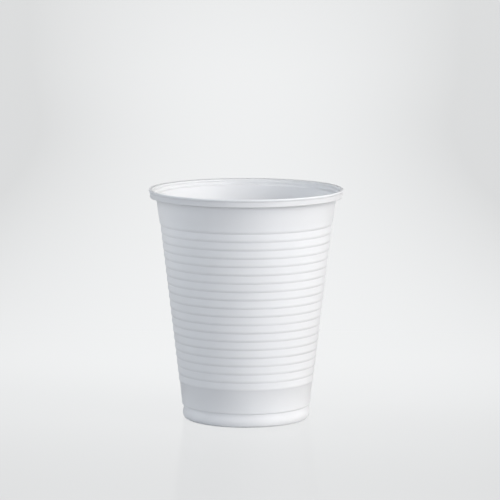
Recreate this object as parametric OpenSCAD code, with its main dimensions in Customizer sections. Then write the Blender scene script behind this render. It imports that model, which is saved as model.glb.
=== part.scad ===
// Disposable drinking cup, formed in one piece from a thin plastic sheet.
// The cup stands on the XY plane with its axis on Z. The origin is the centre of its base.
// One closed outline is turned round the axis. The inside follows each fold of the outside at
// the thickness of the sheet. Only at the lip of the rim is the sheet gathered and thicker.

/* [Cup] */
// Height from the table to the top of the rim
cup_h = 83.6; // [74:0.1:100]
// Thickness of the sheet
sheet_t = 0.25; // [0.2:0.05:0.35]

/* [Rim] */
// Outside diameter over the lip of the rolled rim
rim_d = 70.3; // [64:0.1:80]
// Height of the rolled rim
rim_h = 2.95; // [2.6:0.05:4.5]
// Width of the rim's top, from the lip in to the mouth
rim_w = 1.25; // [1.2:0.05:1.6]
// Fall of the rim's top from the lip in to the mouth
top_fall = 0.2; // [0:0.05:0.3]
// How far the rim's side stands out from the wall under it
rim_reach = 2.18; // [1.9:0.01:3]
// Height of the lip round the top of the rim
lip_h = 1.2; // [0.8:0.05:1.5]
// How far the lip stands out past the rim's side
lip_out = 0.35; // [0.15:0.05:0.4]
// Width of the rounding over the lip
lip_round_w = 0.2; // [0.1:0.05:0.5]
// Height of the rounding over the lip
lip_round_h = 0.45; // [0.2:0.05:0.6]
// Width of the rounding into the mouth
mouth_round_w = 0.3; // [0.2:0.05:0.5]
// Depth of the rounding into the mouth
mouth_round_h = 0.4; // [0.35:0.05:0.5]
// Width of the ledge inside the mouth
ledge_w = 0.7; // [0.3:0.05:1.2]
// Depth of the foot of that ledge below the top
ledge_depth = 1.3; // [1.2:0.05:1.6]
// Height of each slope inside the mouth: the ledge, and under it the last one in to the wall
slope_h = 0.8; // [0.6:0.05:0.9]
// Height of the foot of the last slope over the rim's underside
throat_up = 0.35; // [0.3:0.05:0.6]
// Radius of the rim's lower corner
rim_corner = 0.3; // [0.2:0.05:0.6]
// Radius of the corners in the hollow of the rim
hollow_corner = 0.1; // [0.05:0.05:0.2]
// Gap between the wall and the free edge of the sheet under the rim
curl_gap = 0.15; // [0.1:0.05:0.3]

/* [Upper band] */
// Height of the plain band under the rim
upper_h = 9.95; // [6:0.05:14]
// Fall of the radius down the upper band
upper_fall = 1.28; // [0.8:0.01:1.6]
// Step in at the foot of the upper band
first_step = 0.48; // [0.36:0.01:0.6]

/* [Ribs] */
// Number of ribs
rib_count = 19; // [12:1:22]
// Height of the rounded lower edge of each rib
rib_round_h = 1.1; // [0.7:0.05:1.4]

/* [Lower band] */
// Height of the plain band under the ribs
lower_h = 8.6; // [6:0.05:12]
// Fall of the radius down the lower band
lower_fall = 0.75; // [0.4:0.05:1.4]
// How far the foot of the lower band stands out past the foot ring
heel_out = 0.3; // [0:0.05:0.5]
// Height of the rounding at the foot of the lower band
heel_h = 0.85; // [0.55:0.05:1.4]

/* [Foot] */
// Outside diameter of the foot ring
foot_d = 46.1; // [42:0.05:52]
// Height of the foot, up to the corner of the groove under the lower band
foot_h = 4.75; // [3.5:0.05:6]
// Depth of the groove over the foot ring
groove_depth = 0.4; // [0.2:0.05:0.8]
// Height of the groove's upright floor
neck_h = 0.4; // [0.1:0.05:0.8]
// Height at which the foot ring is widest
bulge_z = 2; // [1.4:0.1:2.6]
// How far the bottom edge of the foot ring rounds in
ring_round = 1.15; // [0.8:0.05:1.7]
// Width of the flat that stands on the table
ring_w = 0.8; // [0.5:0.05:1]
// Radius of the inner edge of that flat
ring_corner = 0.5; // [0.45:0.05:0.7]

/* [Base] */
// Height of the base's underside over the table
base_h = 3; // [1.8:0.1:3.6]
// Fall of the radius up the wall of the recess
recess_fall = 0.3; // [0:0.05:0.6]
// Radius of the outer corner of the base
base_corner = 0.8; // [0.5:0.05:1]

/* [Hidden] */
cup_white = [0.95, 0.96, 0.97];
// Straight steps in a rounding of the outline, and in one as small as the sheet is thick
round_steps = 6;
bead_steps = 4;
// Facets round the cup
facets = 180;

// Rim
rim_r = rim_d / 2;
side_r = rim_r - lip_out;
wall_r = side_r - rim_reach;
mouth_r = rim_r - rim_w;
rim_z = cup_h - rim_h;
throat_z = rim_z + throat_up;
ledge_r = mouth_r - ledge_w;
ledge_z = cup_h - ledge_depth;
hollow_in_r = mouth_r + sheet_t;
hollow_out_r = side_r - sheet_t;
hollow_top_z = cup_h - top_fall - sheet_t;
hollow_low_z = rim_z + sheet_t;

// Upper band
upper_z = rim_z - upper_h;
upper_low_r = wall_r - upper_fall;
upper_slope = upper_fall / (upper_h - rib_round_h);
throat_r = wall_r + upper_slope * (throat_z - rim_z);
curl_r = wall_r + upper_slope * sheet_t + curl_gap;

// Foot and base
foot_r = foot_d / 2;
groove_r = foot_r - groove_depth;
neck_z = foot_h - neck_h;
ring_r = foot_r - ring_round;
recess_r = ring_r - ring_w - ring_corner;
base_r = recess_r - recess_fall;

// Lower band and ribs
heel_r = foot_r + heel_out;
heel_z = foot_h + heel_h;
lower_r = heel_r + lower_fall;
lower_z = foot_h + lower_h;
rib_pitch = (upper_z - lower_z) / rib_count;
rib_step = (upper_low_r - first_step - lower_r) / rib_count;

// Outer radius of band k: 0 is the upper band, then come the ribs, and the last is the lower band
function band_r(k) = k == 0 ? upper_low_r : upper_low_r - first_step - (k - 1) * rib_step;
// Height of the corner under band k
function band_z(k) = upper_z - k * rib_pitch;

// Points along part of an ellipse, from angle a0 to angle a1
function ellipse_points(c, w, h, a0, a1, steps = round_steps) = [
    for (i = [0:steps]) let (a = a0 + (a1 - a0) * i / steps) [c[0] + w * cos(a), c[1] + h * sin(a)]
];

// Points along part of a circle, from angle a0 to angle a1
function circle_points(c, r, a0, a1, steps = bead_steps) = ellipse_points(c, r, r, a0, a1, steps);

// Points along an S-curve from p to q, upright at both ends
function slope_points(p, q) = [
    for (i = [0:round_steps]) let (u = i / round_steps)
        [p[0] + (q[0] - p[0]) * (1 - cos(180 * u)) / 2, p[1] + (q[1] - p[1]) * u]
];

// Lean from upright at the top of the rounded edge under band k, which is that of the band
function edge_lean(k) = k == 0 ? atan(upper_slope) : 0;
// Lean of the straight line from the top of that edge to the corner at its foot
function edge_chord(k) = atan((band_r(k) - band_r(k + 1)) / rib_round_h);
// Lean at the corner
function edge_end(k) = 2 * edge_chord(k) - edge_lean(k);
// Radius of that edge
function edge_radius(k) =
    norm([band_r(k) - band_r(k + 1), rib_round_h]) / (2 * sin(edge_chord(k) - edge_lean(k)));

// Rounded edge under band k, from the corner up, at a depth within the outside
function edge_up(k, depth) =
    let (
        radius = edge_radius(k),
        c = [band_r(k) - radius * cos(edge_lean(k)), band_z(k) + rib_round_h + radius * sin(edge_lean(k))]
    )
        circle_points(c, radius - depth, -edge_end(k), -edge_lean(k), round_steps);

// Bead that the corner under band k makes on the inside, from the band below up
function bead_up(k) =
    circle_points([band_r(k + 1), band_z(k)], sheet_t, 180, 180 - edge_end(k));

function reversed(points) = [for (i = [len(points) - 1:-1:0]) points[i]];

// Points without those that two runs share where they meet
function joined(points) = [
    for (i = [0:len(points) - 1]) if (i == 0 || norm(points[i] - points[i - 1]) > 0.001) points[i]
];

// Underside of the base and wall of its recess, from the axis out to the table
base_outside = concat(
    [[0, base_h]],
    circle_points([base_r - base_corner, base_h - base_corner], base_corner, 90, 0, round_steps),
    circle_points([recess_r + ring_corner, ring_corner], ring_corner, 180, 270)
);

// Foot ring, from the table up to the groove, and the foot of the lower band over it
foot_outside = concat(
    ellipse_points([ring_r, bulge_z], foot_r - ring_r, bulge_z, 270, 360),
    slope_points([foot_r, bulge_z], [groove_r, neck_z]),
    ellipse_points([groove_r, heel_z], heel_r - groove_r, heel_h, 270, 360)
);

// Rounded edges of the ribs and the upper band, from the lowest up
wall_outside = [for (k = [rib_count:-1:0], p = edge_up(k, 0)) p];

// Hollow of the rim: up the wall, over under the top, down the side and in to the free edge
rim_inside = concat(
    slope_points([throat_r, throat_z], [ledge_r + sheet_t, throat_z + slope_h - sheet_t]),
    slope_points([ledge_r + sheet_t, ledge_z], [hollow_in_r, ledge_z + slope_h - sheet_t]),
    circle_points([hollow_in_r + hollow_corner, hollow_top_z - hollow_corner], hollow_corner, 180, 90),
    circle_points([hollow_out_r - hollow_corner, hollow_top_z - hollow_corner], hollow_corner, 90, 0),
    circle_points([hollow_out_r - hollow_corner, hollow_low_z + hollow_corner], hollow_corner, 0, -90)
);

// Outside of the rim, from its underside up, over the lip and in to the mouth
rim_outside = concat(
    circle_points([curl_r + sheet_t, hollow_low_z], sheet_t, 180, 270),
    circle_points([side_r - rim_corner, rim_z + rim_corner], rim_corner, 270, 360, round_steps),
    slope_points([side_r, cup_h - lip_h], [rim_r, cup_h - lip_round_h]),
    ellipse_points([rim_r - lip_round_w, cup_h - lip_round_h], lip_round_w, lip_round_h, 0, 90),
    ellipse_points(
        [mouth_r + mouth_round_w, cup_h - mouth_round_h], mouth_round_w, mouth_round_h - top_fall, 90, 180
    )
);

// Mouth and inside of the wall, from the rim down
wall_inside = concat(
    slope_points([mouth_r, ledge_z + slope_h], [ledge_r, ledge_z]),
    slope_points([ledge_r, throat_z + slope_h], [throat_r - sheet_t, throat_z]),
    [for (k = [0:rib_count], p = reversed(concat(bead_up(k), edge_up(k, sheet_t)))) p]
);

// Inside of the lower band's foot, the groove and the foot ring, then up on to the base
foot_inside = concat(
    ellipse_points([groove_r, heel_z], heel_r - groove_r - sheet_t, heel_h - sheet_t, 360, 270),
    circle_points([groove_r, foot_h], sheet_t, 90, 180),
    slope_points([groove_r - sheet_t, neck_z], [foot_r - sheet_t, bulge_z]),
    ellipse_points([ring_r, bulge_z], foot_r - ring_r - sheet_t, bulge_z - sheet_t, 360, 270),
    circle_points([recess_r + ring_corner, ring_corner], ring_corner - sheet_t, 270, 180),
    circle_points(
        [base_r - base_corner, base_h - base_corner], base_corner + sheet_t, 0, 90, round_steps
    ),
    [[0, base_h + sheet_t]]
);

module cup() {
    color(cup_white)
        rotate_extrude($fn = facets)
            polygon(joined(concat(
                base_outside, foot_outside, wall_outside, rim_inside, rim_outside, wall_inside,
                foot_inside
            )));
}

cup();
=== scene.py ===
import math

import bpy
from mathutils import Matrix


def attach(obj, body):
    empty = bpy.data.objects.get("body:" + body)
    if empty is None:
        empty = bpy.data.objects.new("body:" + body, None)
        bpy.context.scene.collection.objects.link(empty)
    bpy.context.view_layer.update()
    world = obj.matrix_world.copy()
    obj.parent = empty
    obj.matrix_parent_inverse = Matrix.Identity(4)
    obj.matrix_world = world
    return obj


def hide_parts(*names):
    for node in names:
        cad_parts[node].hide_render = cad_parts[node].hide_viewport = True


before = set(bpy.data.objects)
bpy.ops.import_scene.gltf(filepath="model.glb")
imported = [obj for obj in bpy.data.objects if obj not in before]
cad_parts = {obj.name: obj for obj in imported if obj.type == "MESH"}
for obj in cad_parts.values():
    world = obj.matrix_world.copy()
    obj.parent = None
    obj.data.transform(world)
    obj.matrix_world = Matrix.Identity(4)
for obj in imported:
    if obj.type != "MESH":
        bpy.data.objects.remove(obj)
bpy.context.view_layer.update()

MM = 0.001
CAMERA_BACK = 1.0699


# Camera

def make_camera():
    data = bpy.data.cameras.new("camera")
    data.sensor_width = 36
    data.lens = 214.46
    data.shift_x = 0.0077
    data.shift_y = -0.01
    data.clip_start, data.clip_end = 0.05, 60
    cam = bpy.data.objects.new("camera", data)
    cam.location = (0, -CAMERA_BACK, 0.2040)
    cam.rotation_euler = (math.radians(90 - 7.506), 0, 0)
    bpy.context.collection.objects.link(cam)
    bpy.context.scene.camera = cam


make_camera()
bpy.context.scene.view_settings.view_transform = "Standard"


# Outline of the cup, in mm

CUP_H, SHEET_T = 83.6, 0.25
RIM_R, RIM_H, RIM_W, TOP_FALL, RIM_REACH = 35.15, 2.95, 1.25, 0.2, 2.18
LIP_H, LIP_OUT, LIP_ROUND_W, LIP_ROUND_H = 1.2, 0.35, 0.2, 0.45
MOUTH_ROUND_W, MOUTH_ROUND_H = 0.3, 0.4
LEDGE_W, LEDGE_DEPTH, SLOPE_H, THROAT_UP = 0.7, 1.3, 0.8, 0.35
RIM_CORNER, HOLLOW_CORNER, CURL_GAP = 0.3, 0.1, 0.15
UPPER_H, UPPER_FALL, FIRST_STEP = 9.95, 1.28, 0.48
RIB_COUNT, RIB_ROUND_H = 19, 1.1
LOWER_H, LOWER_FALL, HEEL_OUT, HEEL_H = 8.6, 0.75, 0.3, 0.85
FOOT_R, FOOT_H, GROOVE_DEPTH, NECK_H, BULGE_Z, RING_ROUND = 23.05, 4.75, 0.4, 0.4, 2.0, 1.15
RING_W, RING_CORNER = 0.8, 0.5
BASE_H, RECESS_FALL, BASE_CORNER = 3.0, 0.3, 0.8
ROUND_STEPS, BEAD_STEPS = 6, 3

side_r = RIM_R - LIP_OUT
wall_r = side_r - RIM_REACH
mouth_r = RIM_R - RIM_W
rim_z = CUP_H - RIM_H
throat_z = rim_z + THROAT_UP
ledge_r, ledge_z = mouth_r - LEDGE_W, CUP_H - LEDGE_DEPTH
hollow_in_r, hollow_out_r = mouth_r + SHEET_T, side_r - SHEET_T
hollow_top_z, hollow_low_z = CUP_H - TOP_FALL - SHEET_T, rim_z + SHEET_T
upper_z = rim_z - UPPER_H
upper_low_r = wall_r - UPPER_FALL
upper_slope = UPPER_FALL / (UPPER_H - RIB_ROUND_H)
throat_r = wall_r + upper_slope * (throat_z - rim_z)
curl_r = wall_r + upper_slope * SHEET_T + CURL_GAP
groove_r, neck_z = FOOT_R - GROOVE_DEPTH, FOOT_H - NECK_H
ring_r = FOOT_R - RING_ROUND
recess_r = ring_r - RING_W - RING_CORNER
base_r = recess_r - RECESS_FALL
heel_r, heel_z = FOOT_R + HEEL_OUT, FOOT_H + HEEL_H
lower_r, lower_z = heel_r + LOWER_FALL, FOOT_H + LOWER_H
rib_pitch = (upper_z - lower_z) / RIB_COUNT
rib_step = (upper_low_r - FIRST_STEP - lower_r) / RIB_COUNT


def ellipse(cx, cz, w, h, a0, a1, steps=ROUND_STEPS):
    """Arc of an ellipse round (cx, cz), from angle a0 to a1 in degrees."""
    pts = []
    for i in range(steps + 1):
        a = math.radians(a0 + (a1 - a0) * i / steps)
        pts.append((cx + w * math.cos(a), cz + h * math.sin(a)))
    return pts


def slope(p, q, steps=ROUND_STEPS):
    """S-curve from p to q, upright at both ends."""
    pts = []
    for i in range(steps + 1):
        u = i / steps
        pts.append((p[0] + (q[0] - p[0]) * (1 - math.cos(math.pi * u)) / 2, p[1] + (q[1] - p[1]) * u))
    return pts


def band_r(k):
    """Radius of band k at its rounded edge; band 0 is the upper band, the last one the lower band."""
    return upper_low_r if k == 0 else upper_low_r - FIRST_STEP - (k - 1) * rib_step


def band_z(k):
    """Height of the sharp corner under band k."""
    return upper_z - k * rib_pitch


def edge(k):
    """Lean at the top, lean at the corner and radius of the rounded edge under band k."""
    fall = band_r(k) - band_r(k + 1)
    lean = math.atan(upper_slope) if k == 0 else 0
    chord = math.atan(fall / RIB_ROUND_H)
    return lean, 2 * chord - lean, math.hypot(fall, RIB_ROUND_H) / (2 * math.sin(chord - lean))


def edge_up(k, depth, steps):
    """Rounded edge under band k, from the corner up, at a depth inside the outer face."""
    lean, end, radius = edge(k)
    cx = band_r(k) - radius * math.cos(lean)
    cz = band_z(k) + RIB_ROUND_H + radius * math.sin(lean)
    return ellipse(cx, cz, radius - depth, radius - depth, -math.degrees(end), -math.degrees(lean), steps)


def bead_up(k):
    """Inner face round the sharp corner under band k."""
    end = math.degrees(edge(k)[1])
    return ellipse(band_r(k + 1), band_z(k), SHEET_T, SHEET_T, 180, 180 - end, BEAD_STEPS)


def cup_outline():
    """Closed outline of the sheet: up the outside, over the rim, down the inside."""
    out = [(0.0, BASE_H)]
    out += ellipse(base_r - BASE_CORNER, BASE_H - BASE_CORNER, BASE_CORNER, BASE_CORNER, 90, 0)
    out += ellipse(recess_r + RING_CORNER, RING_CORNER, RING_CORNER, RING_CORNER, 180, 270)
    out += ellipse(ring_r, BULGE_Z, FOOT_R - ring_r, BULGE_Z, 270, 360, 8)
    out += slope((FOOT_R, BULGE_Z), (groove_r, neck_z))
    out += ellipse(groove_r, heel_z, heel_r - groove_r, HEEL_H, 270, 360)
    for k in range(RIB_COUNT, -1, -1):
        out += edge_up(k, 0, ROUND_STEPS)
    out += slope((throat_r, throat_z), (ledge_r + SHEET_T, throat_z + SLOPE_H - SHEET_T))
    out += slope((ledge_r + SHEET_T, ledge_z), (hollow_in_r, ledge_z + SLOPE_H - SHEET_T))
    c = HOLLOW_CORNER
    out += ellipse(hollow_in_r + c, hollow_top_z - c, c, c, 180, 90, BEAD_STEPS)
    out += ellipse(hollow_out_r - c, hollow_top_z - c, c, c, 90, 0, BEAD_STEPS)
    out += ellipse(hollow_out_r - c, hollow_low_z + c, c, c, 0, -90, BEAD_STEPS)
    out += ellipse(curl_r + SHEET_T, hollow_low_z, SHEET_T, SHEET_T, 180, 270, BEAD_STEPS)
    out += ellipse(side_r - RIM_CORNER, rim_z + RIM_CORNER, RIM_CORNER, RIM_CORNER, 270, 360)
    out += slope((side_r, CUP_H - LIP_H), (RIM_R, CUP_H - LIP_ROUND_H))
    out += ellipse(RIM_R - LIP_ROUND_W, CUP_H - LIP_ROUND_H, LIP_ROUND_W, LIP_ROUND_H, 0, 90)
    fall = MOUTH_ROUND_H - TOP_FALL
    out += ellipse(mouth_r + MOUTH_ROUND_W, CUP_H - MOUTH_ROUND_H, MOUTH_ROUND_W, fall, 90, 180)
    out += slope((mouth_r, ledge_z + SLOPE_H), (ledge_r, ledge_z))
    out += slope((ledge_r, throat_z + SLOPE_H), (throat_r - SHEET_T, throat_z))
    for k in range(RIB_COUNT + 1):
        out += reversed(bead_up(k) + edge_up(k, SHEET_T, 4))
    out += ellipse(groove_r, heel_z, heel_r - groove_r - SHEET_T, HEEL_H - SHEET_T, 360, 270)
    out += ellipse(groove_r, FOOT_H, SHEET_T, SHEET_T, 90, 180, BEAD_STEPS)
    out += slope((groove_r - SHEET_T, neck_z), (FOOT_R - SHEET_T, BULGE_Z))
    out += ellipse(ring_r, BULGE_Z, FOOT_R - ring_r - SHEET_T, BULGE_Z - SHEET_T, 360, 270)
    c = RING_CORNER - SHEET_T
    out += ellipse(recess_r + RING_CORNER, RING_CORNER, c, c, 270, 180)
    c = BASE_CORNER + SHEET_T
    out += ellipse(base_r - BASE_CORNER, BASE_H - BASE_CORNER, c, c, 0, 90)
    out += [(0.0, BASE_H + SHEET_T)]
    kept = [out[0]]
    for p in out[1:]:
        if math.dist(p, kept[-1]) > 0.001:
            kept.append(p)
    return kept


def turned(name, points, segments):
    """Mesh of a closed outline, which starts and ends on the axis, turned round it."""
    verts, faces, ring = [], [], []
    for r, z in points:
        if r == 0:
            ring.append([len(verts)] * segments)
            verts.append((0, 0, z * MM))
        else:
            ring.append(list(range(len(verts), len(verts) + segments)))
            for j in range(segments):
                a = 2 * math.pi * j / segments
                verts.append((r * MM * math.cos(a), r * MM * math.sin(a), z * MM))
    for a, b in zip(ring, ring[1:]):
        for j in range(segments):
            n = (j + 1) % segments
            face = [a[j], a[n], b[n], b[j]]
            face = [v for i, v in enumerate(face) if v not in face[:i]]
            faces.append(face)
    mesh = bpy.data.meshes.new(name)
    mesh.from_pydata(verts, [], faces)
    mesh.validate()
    obj = bpy.data.objects.new(name, mesh)
    bpy.context.collection.objects.link(obj)
    mesh.shade_smooth()
    mesh.set_sharp_from_angle(angle=math.radians(32))
    return obj


# Materials

def new_material(name):
    mat = bpy.data.materials.new(name)
    mat.use_nodes = True
    tree = mat.node_tree
    return mat, tree, tree.nodes["Principled BSDF"]


def link(tree, a, b):
    tree.links.new(a, b)


def math_node(tree, operation, a, b):
    node = tree.nodes.new("ShaderNodeMath")
    node.operation = operation
    for socket, value in zip(node.inputs, (a, b)):
        if isinstance(value, (int, float)):
            socket.default_value = value
        else:
            link(tree, value, socket)
    return node.outputs[0]


def map_range(tree, value, low, high, out_low, out_high):
    node = tree.nodes.new("ShaderNodeMapRange")
    node.interpolation_type = "SMOOTHSTEP"
    for name, v in (("From Min", low), ("From Max", high), ("To Min", out_low), ("To Max", out_high)):
        node.inputs[name].default_value = v
    link(tree, value, node.inputs["Value"])
    return node.outputs["Result"]


def plastic():
    """White plastic that light enters a little way, less far in the denser rim."""
    mat, tree, bsdf = new_material("white_plastic")
    bsdf.inputs["Base Color"].default_value = (0.86, 0.872, 0.878, 1)
    bsdf.inputs["IOR"].default_value = 1.5
    bsdf.inputs["Specular IOR Level"].default_value = 0.3
    bsdf.inputs["Subsurface Weight"].default_value = 1
    bsdf.inputs["Subsurface Radius"].default_value = (1, 1, 1)
    coord = tree.nodes.new("ShaderNodeTexCoord")
    parts = tree.nodes.new("ShaderNodeSeparateXYZ")
    link(tree, coord.outputs["Object"], parts.inputs["Vector"])
    low, high = (rim_z - 0.45) * MM, (rim_z + 0.15) * MM
    depth = map_range(tree, parts.outputs["Z"], low, high, 0.5 * MM, 0.4 * MM)
    link(tree, depth, bsdf.inputs["Subsurface Scale"])

    fine = tree.nodes.new("ShaderNodeTexNoise")
    fine.inputs["Scale"].default_value = 900
    fine.inputs["Detail"].default_value = 3
    link(tree, coord.outputs["Object"], fine.inputs["Vector"])
    rough = tree.nodes.new("ShaderNodeMapRange")
    rough.inputs["To Min"].default_value = 0.44
    rough.inputs["To Max"].default_value = 0.54
    link(tree, fine.outputs["Fac"], rough.inputs["Value"])
    link(tree, rough.outputs["Result"], bsdf.inputs["Roughness"])

    bump = tree.nodes.new("ShaderNodeBump")
    bump.inputs["Strength"].default_value = 0.06
    bump.inputs["Distance"].default_value = 0.0001
    link(tree, fine.outputs["Fac"], bump.inputs["Height"])
    link(tree, bump.outputs["Normal"], bsdf.inputs["Normal"])
    return mat


def paper():
    """White sheet. The camera sees mostly a pale glow laid on it, with a painted falloff of light that
    darkens it to left and right and towards the front, so the cup's shadow stays faint.
    """
    mat, tree, _ = new_material("backdrop_paper")
    tree.nodes.remove(tree.nodes["Principled BSDF"])
    matte = tree.nodes.new("ShaderNodeBsdfDiffuse")
    matte.inputs["Color"].default_value = (0.48, 0.485, 0.49, 1)

    coord = tree.nodes.new("ShaderNodeTexCoord")
    parts = tree.nodes.new("ShaderNodeSeparateXYZ")
    link(tree, coord.outputs["Object"], parts.inputs["Vector"])
    # Painted light: the glow is brightest just behind the cup and darkens to left and right and towards
    # the front, a painted falloff of light.
    reach = math_node(tree, "ADD", parts.outputs["Y"], CAMERA_BACK)
    across = math_node(tree, "DIVIDE", parts.outputs["X"], reach)
    across = math_node(tree, "MULTIPLY", across, across)
    fall = map_range(tree, parts.outputs["Y"], -0.1, 1.3, 3, 55)
    painted_side_shade = math_node(tree, "MULTIPLY", across, fall)
    front = map_range(tree, parts.outputs["Y"], -0.14, 0.14, 0.83, 0.99)
    far = map_range(tree, parts.outputs["Y"], 0.7, 1.9, 0, 0.05)
    painted_light_pool = math_node(tree, "ADD", front, far)
    painted_light_level = math_node(tree, "MAXIMUM", math_node(tree, "SUBTRACT", painted_light_pool, painted_side_shade), 0.75)
    painted_floor_light = tree.nodes.new("ShaderNodeEmission")
    painted_floor_light.inputs["Color"].default_value = (0.985, 0.995, 1, 1)
    link(tree, painted_light_level, painted_floor_light.inputs["Strength"])

    path = tree.nodes.new("ShaderNodeLightPath")
    share = math_node(tree, "MULTIPLY", path.outputs["Is Camera Ray"], 0.9)
    seen = tree.nodes.new("ShaderNodeMixShader")
    link(tree, share, seen.inputs["Fac"])
    link(tree, matte.outputs["BSDF"], seen.inputs[1])
    link(tree, painted_floor_light.outputs["Emission"], seen.inputs[2])

    gloss = tree.nodes.new("ShaderNodeBsdfGlossy")
    gloss.inputs["Roughness"].default_value = 0.12
    fresnel = tree.nodes.new("ShaderNodeFresnel")
    fresnel.inputs["IOR"].default_value = 1.06
    top = tree.nodes.new("ShaderNodeMixShader")
    link(tree, fresnel.outputs["Fac"], top.inputs["Fac"])
    link(tree, seen.outputs["Shader"], top.inputs[1])
    link(tree, gloss.outputs["BSDF"], top.inputs[2])
    link(tree, top.outputs["Shader"], tree.nodes["Material Output"].inputs["Surface"])
    return mat


# Cup

cup = turned("cup_shell", cup_outline(), 200)
cup.data.materials.append(plastic())
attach(cup, "root")
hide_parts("cup")


# Floor, lamps and world

def make_floor():
    mesh = bpy.data.meshes.new("floor")
    s = 30
    mesh.from_pydata([(-s, -s, 0), (s, -s, 0), (s, s, 0), (-s, s, 0)], [], [(0, 1, 2, 3)])
    obj = bpy.data.objects.new("floor", mesh)
    bpy.context.collection.objects.link(obj)
    mesh.materials.append(paper())


def make_lamp(name, azimuth, elevation, strength, colour):
    """Far, soft lamp at an azimuth from the camera's side; azimuth 90 is to the right."""
    data = bpy.data.lights.new(name, "SUN")
    data.angle = math.radians(30)
    data.energy = strength
    data.color = colour
    obj = bpy.data.objects.new(name, data)
    obj.rotation_euler = (math.radians(90 - elevation), 0, math.radians(azimuth))
    bpy.context.collection.objects.link(obj)


def make_world(seen):
    """Dark to the cup, which the lamps light. Pale to the camera and to mirror rays straight back."""
    world = bpy.data.worlds.new("studio")
    world.use_nodes = True
    tree = world.node_tree
    back = tree.nodes["Background"]
    back.inputs["Color"].default_value = (0.985, 0.995, 1, 1)
    coord = tree.nodes.new("ShaderNodeTexCoord")
    parts = tree.nodes.new("ShaderNodeSeparateXYZ")
    link(tree, coord.outputs["Generated"], parts.inputs["Vector"])
    behind = map_range(tree, parts.outputs["Y"], 0.85, 0.97, 0, 1)
    path = tree.nodes.new("ShaderNodeLightPath")
    mirrored = math_node(tree, "MULTIPLY", path.outputs["Is Glossy Ray"], behind)
    shown = math_node(tree, "MAXIMUM", path.outputs["Is Camera Ray"], mirrored)
    link(tree, math_node(tree, "MULTIPLY", shown, seen), back.inputs["Strength"])
    bpy.context.scene.world = world


make_floor()
# Strengths and colours follow the shading of the cup in the photo.
make_lamp("key_low", 45, 10, 1.34, (1, 0.985, 0.987))
make_lamp("key_high", 60, 35, 1.49, (1, 0.975, 0.96))
make_lamp("right_low", 90, 10, 0.33, (1, 0.985, 0.96))
make_lamp("left_low", -100, 10, 0.785, (0.933, 0.97, 1))
make_lamp("left_high", -100, 35, 0.71, (0.94, 0.957, 1))
make_lamp("front", -20, 15, 0.87, (0.82, 0.885, 1))
make_lamp("back", 120, 20, 0.32, (0.87, 0.92, 1))
make_world(0.95)
